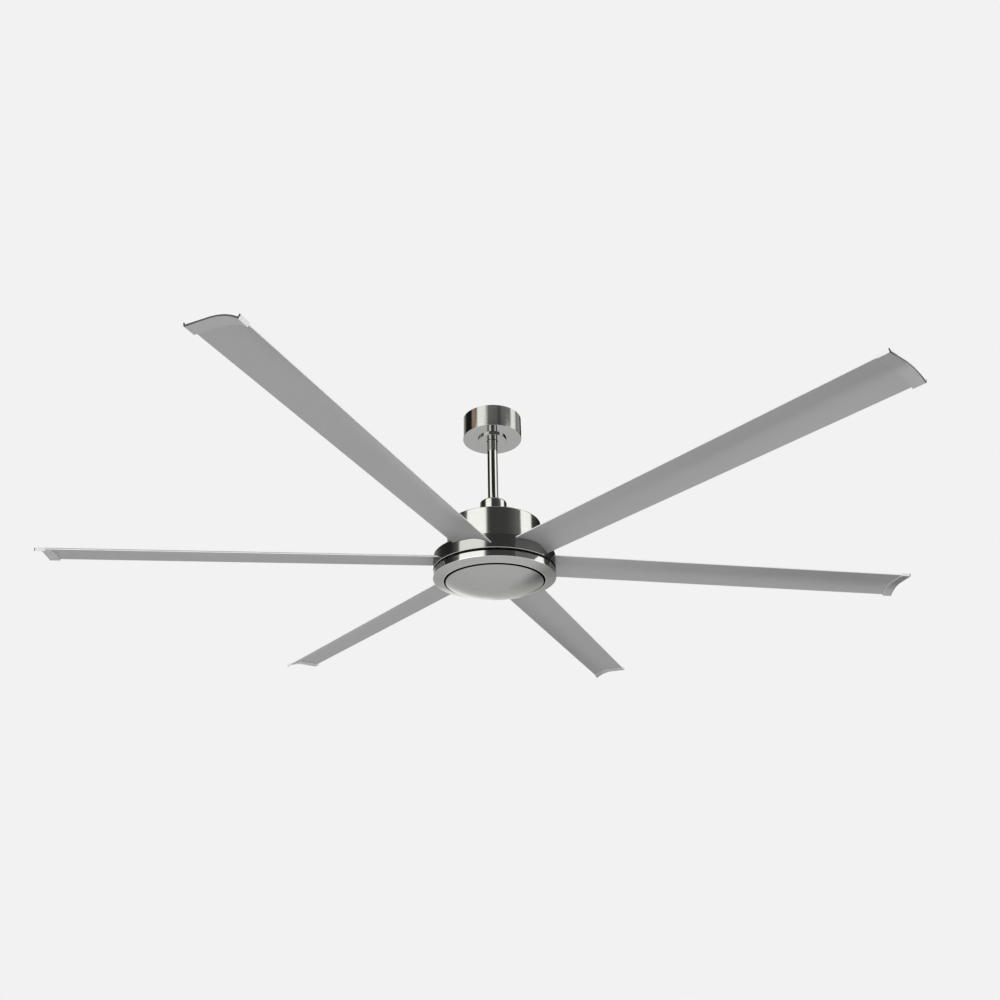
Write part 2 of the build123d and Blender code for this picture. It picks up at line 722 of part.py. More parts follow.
# Capacitors, modules and blocks on the board, outside the coupling's flange
part_circle = (coupling_flange_radius + board_radius) / 2
with BuildPart() as driver_components:
    with BuildSketch(Plane.XY.offset(board_top)):
        with PolarLocations(part_circle, capacitor_count, 0, capacitor_spread):
            Circle(capacitor_radius)
    extrude(amount=capacitor_height)
    with BuildSketch(Plane.XY.offset(board_top)):
        with PolarLocations(part_circle, module_count, module_start, module_spread):
            Rectangle(module_width, module_length)
    extrude(amount=module_height)
    with BuildSketch(Plane.XY.offset(board_top)):
        with PolarLocations(part_circle, block_count, block_start, block_spread):
            Rectangle(block_width, block_length)
    extrude(amount=block_height)
keep(driver_components.part, "driver_components")

# Places of the three screws in a blade's root, for the blade that lies along +X
inner_screws = blade_root_radius + blade_screw_inner
outer_screw = blade_root_radius + blade_screw_outer
screw_spots = (
    (inner_screws, -blade_screw_lead),
    (inner_screws, -blade_screw_lead + blade_screw_pitch),
    (outer_screw, -blade_screw_lead + blade_screw_pitch / 2),
)

# Drill for the threaded holes of those screws in the flywheel's flange
with BuildPart() as blade_drill:
    with BuildSketch(Plane.XY.offset(flywheel_flange_bottom)):
        with Locations(*screw_spots):
            Circle(blade_screw_hole_radius)
    extrude(amount=flange_thickness)

# Flywheel: motor floor above, hub wall, and the flange that carries the blades
with BuildPart() as flywheel:
    with BuildSketch(Plane.XY.offset(disc_bottom)):
        Circle(flywheel_disc_radius)
    extrude(amount=flywheel_disc_thickness)
    with BuildSketch(Plane.XY.offset(disc_bottom)):
        Circle(bearing_seat_radius)
    extrude(amount=lower_bearing_top - disc_bottom)
    with BuildSketch(Plane.XY.offset(flywheel_flange_bottom)):
        Circle(flywheel_hub_radius)
        Circle(flywheel_bore, mode=Mode.SUBTRACT)
    extrude(amount=disc_bottom - flywheel_flange_bottom)
    with BuildSketch(Plane.XY.offset(flywheel_flange_bottom)):
        Circle(flange_radius)
        Circle(flywheel_bore, mode=Mode.SUBTRACT)
    extrude(amount=flange_thickness)
    with BuildSketch(Plane.XY.offset(lower_bearing_bottom)):
        Circle(bearing_radius)
    extrude(amount=bearing_width, mode=Mode.SUBTRACT)
    with BuildSketch(Plane.XY.offset(disc_bottom)):
        Circle(outer_race_radius)
        with PolarLocations(rotor_screw_circle, rotor_screw_count, between_blades):
            Circle(pan_screw_hole_radius)
        with PolarLocations((bearing_seat_radius + flywheel_bore) / 2, vent_count):
            Circle(vent_hole_radius)
    extrude(amount=flywheel_disc_thickness, mode=Mode.SUBTRACT)
    for index in range(blade_count):
        angle = first_blade_angle + index * blade_pitch_angle
        add(blade_drill.part, rotation=(0, 0, angle), mode=Mode.SUBTRACT)
    with BuildSketch(Plane.XY.offset(flywheel_flange_bottom)):
        with PolarLocations(lug_circle, blade_count, between_blades):
            Circle(pan_screw_hole_radius)
    extrude(amount=flange_thickness, mode=Mode.SUBTRACT)
keep(flywheel.part, "flywheel")

# Screws that join the rotor can to the flywheel
with BuildPart() as rotor_screws:
    with BuildSketch(Plane.XY.offset(disc_bottom)):
        with PolarLocations(rotor_screw_circle, rotor_screw_count, between_blades):
            Circle(pan_screw_head_radius)
    extrude(amount=-pan_screw_head)
    with BuildSketch(Plane.XY.offset(disc_bottom)):
        with PolarLocations(rotor_screw_circle, rotor_screw_count, between_blades):
            Circle(pan_screw_radius)
    extrude(amount=flywheel_disc_thickness + rotor_top_thickness)
keep(rotor_screws.part, "rotor_screws")


# Blade section. Its plane stands across the blade: X towards the trailing
# edge, Y up, and the underside of the flat leading part lies at Y = 0.
curve_start = -blade_crown
trail_angle = degrees(asin((blade_trail + blade_crown) / blade_curve_radius))
blade_slope = radians(blade_droop)
blade_axis = Vector(cos(blade_slope), 0, -sin(blade_slope))


def blade_underside(radius):
    """Height of the flat part's underside, at a distance from the fan's axis."""
    return blade_ring_top - blade_below_rim - (radius - ring_radius) * tan(blade_slope)


def blade_plane(radius):
    """Plane across the blade that lies along +X, at a distance from the fan's axis."""
    return Plane((radius, 0, blade_underside(radius)), x_dir=(0, 1, 0), z_dir=blade_axis)


def on_curve(radius, angle):
    """Point on the trailing curve, by its radius and its angle from the crown."""
    turn = radians(angle)
    return (curve_start + radius * sin(turn), radius * cos(turn) - blade_curve_radius)


def blade_face(plane, grow):
    """Outline of the blade on a plane, made larger all round by grow."""
    low = blade_curve_radius - grow
    high = blade_curve_radius + blade_thickness + grow
    middle = blade_curve_radius + blade_thickness / 2
    bulge = degrees((blade_thickness / 2 + grow) / middle)
    nose = (-blade_lead - blade_thickness / 2 - grow, blade_thickness / 2)
    with BuildSketch(plane) as face:
        with BuildLine():
            under = Line((-blade_lead, -grow), (curve_start, -grow))
            over = Line((-blade_lead, blade_thickness + grow), (curve_start, blade_thickness + grow))
            ThreePointArc(under @ 0, nose, over @ 0)
            lower = ThreePointArc(under @ 1, on_curve(low, trail_angle / 2), on_curve(low, trail_angle))
            upper = ThreePointArc(over @ 1, on_curve(high, trail_angle / 2), on_curve(high, trail_angle))
            ThreePointArc(lower @ 1, on_curve(middle, trail_angle + bulge), upper @ 1)
        make_face()
    return face.sketch


# Blade, with a hole and a seat for the head of each root screw
blade_length = (sweep_radius - blade_root_radius) / cos(blade_slope)
with BuildPart() as blade:
    extrude(blade_face(blade_plane(blade_root_radius), 0), amount=blade_length, dir=blade_axis)
    for radius, across in screw_spots:
        with BuildSketch(Plane.XY.offset(flywheel_flange_top)):
            with Locations((radius, across)):
                Circle(blade_screw_hole_radius)
        extrude(amount=blade_ring_height, mode=Mode.SUBTRACT)
        with BuildSketch(Plane.XY.offset(blade_underside(radius) + blade_thickness / 2)):
            with Locations((radius, across)):
                Circle(blade_screw_head_radius + slip_gap)
        extrude(amount=blade_thickness, mode=Mode.SUBTRACT)

# Saddle under a blade root, between the flywheel's flange and the blade
with BuildPart() as saddle:
    with BuildSketch(blade_plane(blade_root_radius + saddle_setback)):
        with BuildLine():
            top_line = Line((-blade_lead + saddle_lead_inset, 0), (curve_start, 0))
            top_curve = ThreePointArc(
                top_line @ 1,
                on_curve(blade_curve_radius, trail_angle / 2),
                on_curve(blade_curve_radius, trail_angle - saddle_trail_inset),
            )
            right = Line(top_curve @ 1, (top_curve @ 1).add(Vector(0, -blade_ring_height)))
            left = Line(top_line @ 0, (top_line @ 0).add(Vector(0, -blade_ring_height)))
            Line(left @ 1, right @ 1)
        make_face()
    extrude(amount=saddle_length)
    split(bisect_by=Plane.XY.offset(flywheel_flange_top), keep=Keep.TOP)
    with BuildSketch(Plane.XY.offset(flywheel_flange_top)):
        with Locations((blade_root_radius + saddle_setback + saddle_length / 2, pocket_across)):
            RectangleRounded(saddle_length - 2 * pocket_margin, pocket_width, pocket_corner)
    extrude(amount=pocket_depth, mode=Mode.SUBTRACT)
    with BuildSketch(Plane.XY.offset(flywheel_flange_top)):
        with Locations(*screw_spots):
            Circle(blade_screw_hole_radius)
    extrude(amount=blade_ring_height, mode=Mode.SUBTRACT)

# Screws through a blade and its saddle into the flange
with BuildPart() as screw_set:
    for radius, across in screw_spots:
        head_bottom = blade_underside(radius) + blade_thickness / 2
        with BuildSketch(Plane.XY.offset(flywheel_flange_bottom)):
            with Locations((radius, across)):
                Circle(blade_screw_radius)
        extrude(amount=head_bottom - flywheel_flange_bottom)
        with BuildSketch(Plane.XY.offset(head_bottom)):
            with Locations((radius, across)):
                Circle(blade_screw_head_radius)
                RegularPolygon(blade_screw_socket, 6, mode=Mode.SUBTRACT)
        extrude(amount=blade_thickness / 2 - slip_gap)

# Tip cap: a channel under the blade's end, whose two sides lean out past its edges
cap_start = -blade_lead - blade_thickness / 2 - cap_gap
cap_turn = trail_angle + degrees((blade_thickness / 2 + cap_gap) / blade_curve_radius)
floor_turn = cap_turn + degrees(cap_sheet / blade_curve_radius)
floor_radius = blade_curve_radius - cap_floor
side_tilt = radians(cap_side_tilt)
lead_rise = Vector(-sin(side_tilt), cos(side_tilt)) * cap_side_height
trail_rise = Vector(sin(side_tilt), cos(side_tilt)) * cap_side_height
lead_sheet = Vector(-cos(side_tilt), -sin(side_tilt)) * cap_sheet
trail_sheet = Vector(cos(side_tilt), -sin(side_tilt)) * cap_sheet
with BuildPart() as tip_cap:
    with BuildSketch(blade_plane(sweep_radius - cap_length)):
        with BuildLine():
            top = Line((cap_start, 0), (curve_start, 0))
            floor = Line((cap_start - cap_sheet, -cap_floor), (curve_start, -cap_floor))
            lead_corner = (top @ 0) + lead_rise
            Polyline(floor @ 0, lead_corner + lead_sheet, lead_corner, top @ 0)
            top_arc = ThreePointArc(
                top @ 1,
                on_curve(blade_curve_radius, cap_turn / 2),
                on_curve(blade_curve_radius, cap_turn),
            )
            floor_arc = ThreePointArc(
                floor @ 1,
                on_curve(floor_radius, floor_turn / 2),
                on_curve(floor_radius, floor_turn),
            )
            trail_corner = (top_arc @ 1) + trail_rise
            Polyline(top_arc @ 1, trail_corner, trail_corner + trail_sheet, floor_arc @ 1)
        make_face()
    extrude(amount=cap_length / cos(blade_slope))

# Cutter for one slot of the blade ring, the blade's outline made larger
with BuildPart() as blade_slot:
    slot_plane = blade_plane(ring_radius - blade_ring_lip / 2)
    extrude(blade_face(slot_plane, slot_clearance), amount=blade_ring_lip, dir=blade_axis)

# The blade ring: wall, top lip, inner lugs and one slot for each blade
with BuildPart() as blade_ring:
    with BuildSketch(Plane.XY.offset(blade_ring_bottom)):
        Circle(ring_radius)
        Circle(ring_radius - ring_wall, mode=Mode.SUBTRACT)
    extrude(amount=blade_ring_height)
    with BuildSketch(Plane.XY.offset(blade_ring_top)):
        Circle(ring_radius)
        Circle(ring_radius - blade_ring_lip, mode=Mode.SUBTRACT)
    extrude(amount=-lip_thickness)
    chamfer(rim(blade_ring, ring_radius, blade_ring_top), ring_edge_bevel)
    chamfer(rim(blade_ring, ring_radius, blade_ring_bottom), ring_edge_bevel)
    with BuildSketch(Plane.XY.offset(flywheel_flange_top)):
        with PolarLocations(ring_radius - (lug_reach + ring_wall) / 2, blade_count, between_blades):
            Rectangle(lug_reach + ring_wall, lug_width)
        Circle(ring_radius - ring_wall / 2, mode=Mode.INTERSECT)
        with PolarLocations(lug_circle, blade_count, between_blades):
            Circle(pan_screw_hole_radius, mode=Mode.SUBTRACT)
    extrude(amount=lug_thickness)
    for index in range(blade_count):
        angle = first_blade_angle + index * blade_pitch_angle
        add(blade_slot.part, rotation=(0, 0, angle), mode=Mode.SUBTRACT)
keep(blade_ring.part, "blade_ring")

# Screws through the lugs into the flywheel's flange
with BuildPart() as ring_screws:
    with BuildSketch(Plane.XY.offset(flywheel_flange_top + lug_thickness)):
        with PolarLocations(lug_circle, blade_count, between_blades):
            Circle(pan_screw_head_radius)
    extrude(amount=pan_screw_head)
    with BuildSketch(Plane.XY.offset(flywheel_flange_bottom)):
        with PolarLocations(lug_circle, blade_count, between_blades):
            Circle(pan_screw_radius)
    extrude(amount=flange_thickness + lug_thickness)
keep(ring_screws.part, "ring_screws")

# Copies of the blade, its cap, its saddle and its screws round the fan
all_screws = []
for index in range(blade_count):
    angle = first_blade_angle + index * blade_pitch_angle
    keep(blade.part.rotate(Axis.Z, angle), f"blade_{index + 1}")
    keep(tip_cap.part.rotate(Axis.Z, angle), f"tip_cap_{index + 1}")
    keep(saddle.part.rotate(Axis.Z, angle), f"blade_saddle_{index + 1}")
    all_screws += screw_set.part.rotate(Axis.Z, angle).solids()
keep(Compound(children=all_screws), "blade_screws")

# Pan: top plate, outer wall, sloped skirt and inner rim, with twist-lock hooks
hook_outer = bayonet_radius + bayonet_tab + bayonet_wall
bayonet_step = 360 / bayonet_count
with BuildPart() as lower_ring:
    with BuildSketch(Plane.XZ):
        with BuildLine():
            Polyline(
                (shaft_radius + run_fit, pan_top),
                (ring_radius - ring_edge_bevel, pan_top),
                (ring_radius, pan_top - ring_edge_bevel),
                (ring_radius, lower_wall_bottom),
                (lower_inner_radius, skirt_bottom),
                (lower_inner_radius, skirt_bottom + dome_edge),
                (lower_inner_radius + pan_sheet, skirt_bottom + dome_edge),
                (lower_inner_radius + pan_sheet, skirt_bottom + pan_sheet),
                (ring_radius - pan_sheet, lower_wall_bottom + pan_sheet / 2),
                (ring_radius - pan_sheet, pan_plate_bottom),
                (shaft_radius + run_fit, pan_plate_bottom),
                close=True,
            )
        make_face()
    revolve(axis=Axis.Z)
    fillet(rim(lower_ring, ring_radius, lower_wall_bottom), skirt_edge_radius)
    fillet(rim(lower_ring, lower_inner_radius, skirt_bottom), skirt_edge_radius)
    with BuildSketch(Plane.XY.offset(hook_bottom)):
        Circle(hook_outer)
        Circle(hook_outer - bayonet_wall, mode=Mode.SUBTRACT)
    extrude(amount=pan_plate_bottom - hook_bottom)
    with BuildSketch(Plane.XY.offset(hook_bottom)):
        for index in range(bayonet_count):
            hook_root = hook_outer - bayonet_wall / 2
            add(ring_sector(hook_root, bayonet_radius + seat_gap, index * bayonet_step, bayonet_tab_angle))
    extrude(amount=bayonet_wall)
keep(lower_ring.part, "lower_ring")

# Nut that holds the pan on the shaft
with BuildPart() as shaft_nut:
    with BuildSketch(Plane.XY.offset(pan_plate_bottom)):
        RegularPolygon(nut_across_flats / 2, 6, major_radius=False)
        Circle(shaft_radius + run_fit, mode=Mode.SUBTRACT)
    extrude(amount=shaft_thread_proud - shaft_below_pan)
keep(shaft_nut.part, "shaft_nut")

# Dome: a shallow dish with a turned-in edge and twist-lock tabs
dome_bottom = dome_rim - dome_depth
dome_sphere = (dome_radius**2 + dome_depth**2) / (2 * dome_depth)
dome_centre = dome_bottom + dome_sphere
inner_sphere = dome_sphere - dome_sheet
inner_radius = dome_radius - dome_sheet


def dish(sphere, radius):
    """Height of a ball's underside about the dome's centre, at a distance from the axis."""
    return dome_centre - sqrt(sphere**2 - radius**2)


with BuildPart() as dome:
    half = dome_radius / 2
    with BuildSketch(Plane.XZ):
        with BuildLine():
            outside = ThreePointArc((0, dome_bottom), (half, dish(dome_sphere, half)), (dome_radius, dome_rim))
            inside = ThreePointArc(
                (0, dome_bottom + dome_sheet),
                (half, dish(inner_sphere, half)),
                (inner_radius, dish(inner_sphere, inner_radius)),
            )
            Line(outside @ 0, inside @ 0)
            Polyline(
                outside @ 1,
                (dome_radius, skirt_bottom + dome_edge),
                (inner_radius, skirt_bottom + dome_edge),
                inside @ 1,
            )
        make_face()
    revolve(axis=Axis.Z)
    fillet(rim(dome, dome_radius, dome_rim), dome_edge_radius)
    tab_bottom = hook_bottom + bayonet_wall + seat_gap
    skirt_low = dish(inner_sphere, bayonet_radius) - dome_sheet / 2
    with BuildSketch(Plane.XY.offset(skirt_low)):
        Circle(bayonet_radius)
        Circle(bayonet_radius - bayonet_wall, mode=Mode.SUBTRACT)
    extrude(amount=tab_bottom + bayonet_wall - skirt_low)
    with BuildSketch(Plane.XY.offset(tab_bottom)):
        for index in range(bayonet_count):
            tab_root = bayonet_radius - bayonet_wall / 2
            tab_end = bayonet_radius + bayonet_tab - seat_gap
            add(ring_sector(tab_end, tab_root, index * bayonet_step, bayonet_tab_angle))
    extrude(amount=bayonet_wall)
keep(dome.part, "dome")
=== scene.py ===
import bpy
from math import cos, pi, radians, sin
from mathutils import Matrix, Vector


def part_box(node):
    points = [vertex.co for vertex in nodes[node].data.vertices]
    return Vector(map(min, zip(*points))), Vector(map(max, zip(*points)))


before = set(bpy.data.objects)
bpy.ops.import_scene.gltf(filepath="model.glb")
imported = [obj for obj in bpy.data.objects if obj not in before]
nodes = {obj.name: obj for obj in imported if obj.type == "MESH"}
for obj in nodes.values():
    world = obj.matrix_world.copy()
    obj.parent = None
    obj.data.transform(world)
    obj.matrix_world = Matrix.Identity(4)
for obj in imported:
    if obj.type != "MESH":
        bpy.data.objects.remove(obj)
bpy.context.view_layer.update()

# Looks of a ceiling fan with six thin cambered blades. Metres, +Z up.

# Camera, fitted to the photograph's 1000 x 1000 pixels
camera_place = Vector((-0.0135, -1.8589, -1.1523))
camera_yaw = radians(-0.725)
camera_pitch = radians(26.415)
camera_roll = radians(-0.451)
image_width = 1000
focal_pixels = 845.79
centre_pixel = 478.14
sensor_width = 36.0

# Studio
floor_height = -3.4
floor_size = 60.0
floor_colour = (0.80, 0.80, 0.80)
floor_roughness = 0.9
background_level = 0.888
world_strength = 0.62
lamp_radiance = 2.2
lamp_distance = 6.0
lamp_elevation = 26
lamp_aim = Vector((0, 0, -0.3))
lamp_pool_outer = 16.0   # from here inward the lamps brighten the floor
lamp_pool_inner = 4.0
lamp_pool_share = 0.4    # share of the floor's lift that the lamps replace there

# Screens that reflections see
nickel_tint = (1.0, 1.015, 0.965)
tan = (0.62, 0.42, 0.28)
white = 2.25
dark = 0.09
far = 7.0
near = 1.2
patch_distance = 2.2
under_distance = 4.0
screen_top = 12.0
front_split = -1.0       # the front screens meet at this height
rear_split = 1.6         # the right rear screens meet at this height
haze_low = -1.5          # rear screens fade into the floor's level between these heights
haze_high = -0.5

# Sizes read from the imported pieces
ring_low, ring_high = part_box("blade_ring")
pan_low, pan_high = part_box("lower_ring")
dome_low, dome_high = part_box("dome")
housing_low, housing_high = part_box("motor_housing")
ring_radius = ring_high[0]
dome_radius = dome_high[0]
housing_radius = housing_high[0]
cap_reach = 1.016        # radius at which the tip caps end
skin = 0.001             # distance from an edge at which the painted shade and painted highlight zones begin
dome_lip = 0.0273        # from the dome's lowest point up to its edge
skirt_inner_radius = dome_radius + 0.0036
skirt_top = pan_low[2] + 0.0072

# Grain of the brushed metal
fine_lines = 1400.0
broad_lines = 160.0
grain_slant = 1.31       # lets the lines show on level faces too
smallest_radius = 0.0005
quarter_turn = 0.25      # turns the brushing's stretched highlights upright
# Painted shade: near-black colour and roughness of the zones inside gaps and recesses
gap_shade_black = (0.002, 0.002, 0.002)
gap_shade_roughness = 0.7
# Colour of the painted highlights along edges and rims
rim_highlight_colour = (0.8, 0.8, 0.8)

# A face counts as an edge where its normal's Z passes from the first value to the second
edge_begins = 0.72
edge_complete = 0.6
# and as an underside, whose colour is lightened as painted light, from the first to the second of these, for
# this share of its colour
down_begins = -0.6
down_complete = -0.85
down_share = 0.6

# Paint of the blades
paint_specular = 0.15
paint_glancing = (0.5, 0.5, 0.5)


class Shader:
    """A material with a Principled shader and short calls that add nodes to it."""

    def __init__(self, name, colour, metallic, roughness):
        self.material = bpy.data.materials.new(name)
        self.material.use_nodes = True
        self.tree = self.material.node_tree
        self.bsdf = self.tree.nodes["Principled BSDF"]
        self.set("Base Color", (*colour, 1))
        self.set("Metallic", metallic)
        self.set("Roughness", roughness)

    def set(self, name, value):
        self.bsdf.inputs[name].default_value = value

    def link(self, socket, name):
        self.tree.links.new(socket, self.bsdf.inputs[name])

    def add(self, kind, inputs=None, **settings):
        """Add a node; inputs maps a socket's name or number to a value or to another socket."""
        node = self.tree.nodes.new("ShaderNode" + kind)
        for name, value in settings.items():
            setattr(node, name, value)
        for name, value in (inputs or {}).items():
            if isinstance(value, bpy.types.NodeSocket):
                self.tree.links.new(value, node.inputs[name])
            else:
                node.inputs[name].default_value = value
        return node

    def math(self, operation, first, second=0.0):
        return self.add("Math", {0: first, 1: second}, operation=operation).outputs[0]

    def times(self, first, second):
        return self.math("MULTIPLY", first, second)

    def place(self):
        """Vector, X, Y and Z of the surface in the frame at rest."""
        coordinates = self.add("TexCoord").outputs["Object"]
        split = self.add("SeparateXYZ", {0: coordinates})
        return coordinates, split.outputs[0], split.outputs[1], split.outputs[2]

    def height(self):
        return self.place()[3]

    def radius(self):
        """Distance of the surface from the fan's axis."""
        _, x, y, _ = self.place()
        return self.math("SQRT", self.math("ADD", self.times(x, x), self.times(y, y)))

    def facing(self):
        """Z of the surface's normal, 1 where it looks up."""
        return self.add("SeparateXYZ", {0: self.add("TexCoord").outputs["Normal"]}).outputs[2]

    def edge(self):
        """1 on faces that stand upright, such as the rim of a thin blade."""
        return self.step(self.math("ABSOLUTE", self.facing()), edge_begins, edge_complete)

    def noise(self, vector, scale, detail=2.0, rough=0.5):
        node = self.add("TexNoise", {"Vector": vector, "Scale": scale, "Detail": detail, "Roughness": rough})
        return node.outputs[0]

    def weigh(self, first, share, second):
        """Weighted sum of two values: share of the first, the rest of the second."""
        return self.math("ADD", self.times(first, share), self.times(second, 1.0 - share))

    def spread(self, value, low, high):
        """Map a noise value, which lies about 0.5, to a range."""
        return self.add("MapRange", {0: value, 1: 0.3, 2: 0.7, 3: low, 4: high}).outputs[0]

    def step(self, value, start, end):
        """0 where value is at start, 1 where it is at end, smooth between."""
        inputs = {0: value, 1: start, 2: end, 3: 0.0, 4: 1.0}
        return self.add("MapRange", inputs, interpolation_type="SMOOTHSTEP").outputs[0]

    def blend(self, factor, first, second):
        """Mix of two colours, or of two sockets that carry colours."""
        inputs = {0: factor}
        for slot, value in ((6, first), (7, second)):
            inputs[slot] = value if isinstance(value, bpy.types.NodeSocket) else (*value, 1)
        return self.add("Mix", inputs, data_type="RGBA").outputs[2]

    def shade(self, value, colour, low, high):
        """The colour, varied by a noise value between two multiples of itself."""
        return self.blend(self.spread(value, 0, 1), scaled(colour, low), scaled(colour, high))

    def bump(self, height, distance, strength):
        node = self.add("Bump", {"Height": height, "Distance": distance, "Strength": strength})
        self.link(node.outputs[0], "Normal")


def scaled(colour, factor):
    return tuple(channel * factor for channel in colour)


def around_axis(shader, line_scale, along_scale):
    """Vector for grain that runs round the vertical axis, with no seam."""
    _, x, y, z = shader.place()
    radius = shader.radius()
    divisor = shader.math("MAXIMUM", radius, smallest_radius)
    cosine = shader.times(shader.math("DIVIDE", x, divisor), along_scale)
    sine = shader.times(shader.math("DIVIDE", y, divisor), along_scale)
    depth = shader.times(shader.math("ADD", z, shader.times(radius, grain_slant)), line_scale)
    return shader.add("CombineXYZ", {0: cosine, 1: sine, 2: depth}).outputs[0]


# Zones: each takes a shader and returns a factor that is 1 inside the zone.
# Black zones are painted shade: the insides of gaps and recesses, coloured near black.

def ring_inside(shader):
    below = shader.step(shader.height(), ring_high[2] - 0.5 * skin, ring_high[2] - skin)
    within = shader.step(shader.radius(), ring_radius - 0.5 * skin, ring_radius - 1.5 * skin)
    return shader.times(below, within)


def housing_inside(shader):
    below = shader.step(shader.height(), housing_high[2] - 0.5 * skin, housing_high[2] - skin)
    within = shader.step(shader.radius(), housing_radius - 0.5 * skin, housing_radius - skin)
    return shader.times(below, within)


def pan_inside(shader):
    height = shader.height()
    top = shader.step(height, pan_high[2] - 0.4 * skin, pan_high[2] - 0.1 * skin)
    within = shader.step(shader.radius(), skirt_inner_radius + 0.5 * skin, skirt_inner_radius + 0.1 * skin)
    above = shader.step(height, pan_low[2] + skin, pan_low[2] + 1.5 * skin)
    return shader.math("MAXIMUM", top, shader.times(within, above))


def dome_inside(shader):
    edge = dome_low[2] + dome_lip
    return shader.step(shader.height(), edge - 0.6 * skin, edge - 0.3 * skin)


# Bright zones are painted highlights along edges and rims

def housing_edge(shader):
    return shader.step(shader.height(), housing_low[2] + skin, housing_low[2] + 0.4 * skin)


def ring_edge(shader):
    return shader.step(shader.height(), ring_low[2] + 1.2 * skin, ring_low[2] + 0.8 * skin)


def skirt_lip(shader):
    """Painted highlight on the skirt's rim round the dome, and on its outer rim."""
    inner = shader.step(shader.radius(), skirt_inner_radius + 2.2 * skin, skirt_inner_radius + 1.6 * skin)
    below = shader.step(shader.height(), skirt_top + 1.4 * skin, skirt_top + 0.6 * skin)
    beyond = shader.step(shader.radius(), ring_radius - 1.6 * skin, ring_radius - 0.6 * skin)
    return shader.math("MAXIMUM", inner, shader.times(below, beyond))


# Finishes

def brushed(name, colour, roughness, anisotropic, grain, black=None, line=None, highlight_colour=rim_highlight_colour,
            glancing=0.5, underside=None):
    """Metal brushed round the vertical axis, which spreads its reflections up and down.

    black is a painted shade zone, line a painted highlight zone. glancing dims what the metal reflects at a
    low angle.
    underside lightens the colour of faces that look down, as painted light.
    """
    shader = Shader(name, colour, 1.0, roughness)
    fine = shader.noise(around_axis(shader, fine_lines, 2.0), 1.0, 2.0)
    broad = shader.noise(around_axis(shader, broad_lines, 3.0), 1.0, 3.0)
    cloud = shader.noise(shader.place()[0], 9.0, 3.0)
    lines = shader.weigh(fine, 0.5, broad)
    tone = shader.shade(shader.weigh(lines, 0.8, cloud), colour, 0.92, 1.06)
    rough = shader.spread(lines, roughness * 0.9, roughness * 1.15)
    # Painted light: faces that look down are lightened
    if underside:
        looks_down = shader.step(shader.facing(), down_begins, down_complete)
        tone = shader.blend(shader.times(looks_down, down_share), tone, scaled(colour, underside))
    # Painted highlight: the line zone takes a pale colour
    if line:
        tone = shader.blend(line(shader), tone, highlight_colour)
    # Painted shade: the black zone turns near black
    if black:
        zone = black(shader)
        tone = shader.blend(zone, tone, gap_shade_black)
        rough = shader.math("MAXIMUM", rough, shader.times(zone, gap_shade_roughness))
    shader.link(tone, "Base Color")
    shader.link(rough, "Roughness")
    shader.set("Anisotropic", anisotropic)
    shader.set("Anisotropic Rotation", quarter_turn)
    shader.set("Specular Tint", (glancing, glancing, glancing, 1))
    shader.link(shader.add("Tangent", direction_type="RADIAL", axis="Z").outputs[0], "Tangent")
    shader.bump(fine, grain, 0.5)
    return shader.material


def blade_paint(name, colour, roughness, metallic, edge_highlight):
    """Silver paint with fine flakes, and a painted highlight on the edges, which are pale and not metallic.
    """
    shader = Shader(name, colour, metallic, roughness)
    coordinates = shader.place()[0]
    flakes = shader.noise(coordinates, 2600.0, 1.0)
    peel = shader.noise(coordinates, 420.0, 2.0)
    cloud = shader.noise(coordinates, 3.0, 3.0)
    tone = shader.shade(shader.weigh(flakes, 0.45, cloud), colour, 0.96, 1.04)
    # Painted highlight: the edges take a pale, non-metallic colour
    edge = shader.edge()
    shader.link(shader.blend(edge, tone, edge_highlight), "Base Color")
    shader.link(shader.times(shader.math("SUBTRACT", 1.0, edge), metallic), "Metallic")
    shader.link(shader.spread(cloud, roughness * 0.93, roughness * 1.08), "Roughness")
    shader.set("Specular IOR Level", paint_specular)
    shader.set("Specular Tint", (*paint_glancing, 1))
    shader.bump(peel, 0.00001, 0.25)
    return shader.material


def cap_paint(name, colour, roughness, metallic, side_highlight, end_shade):
    """Satin cap with painted shade on its black outer end and a painted highlight on its bright sides."""
    shader = Shader(name, colour, metallic, roughness)
    coordinates = shader.place()[0]
    flakes = shader.noise(coordinates, 1900.0, 2.0)
    cloud = shader.noise(coordinates, 14.0, 3.0)
    tone = shader.shade(shader.weigh(flakes, 0.4, cloud), colour, 0.93, 1.05)
    # Painted highlight on the sides and painted shade on the outer end
    side = shader.edge()
    outer = shader.step(shader.radius(), cap_reach - 0.8 * skin, cap_reach - 0.3 * skin)
    tone = shader.blend(side, tone, side_highlight)
    shader.link(shader.blend(outer, tone, end_shade), "Base Color")
    shader.link(shader.times(shader.math("SUBTRACT", 1.0, side), metallic), "Metallic")
    shader.link(shader.spread(cloud, roughness * 0.9, roughness * 1.1), "Roughness")
    shader.bump(flakes, 0.00002, 0.3)
    return shader.material


def plain_metal(name, colour, roughness, scale=300.0, metallic=1.0, bump=0.00005):
    """Cast, plated or turned metal, or plastic, mostly out of sight, with a fine uneven surface."""
    shader = Shader(name, colour, metallic, roughness)
    coordinates = shader.place()[0]
    grain = shader.noise(coordinates, scale, 4.0, 0.6)
    cloud = shader.noise(coordinates, 25.0, 3.0)
    shader.link(shader.shade(shader.weigh(grain, 0.5, cloud), colour, 0.82, 1.1), "Base Color")
    shader.link(shader.spread(grain, roughness * 0.8, roughness * 1.2), "Roughness")
    shader.bump(grain, bump, 0.6)
    return shader.material


nickel = (0.392, 0.395, 0.385)
rod_nickel = (0.40, 0.402, 0.392)
ring_nickel = (0.30, 0.303, 0.293)
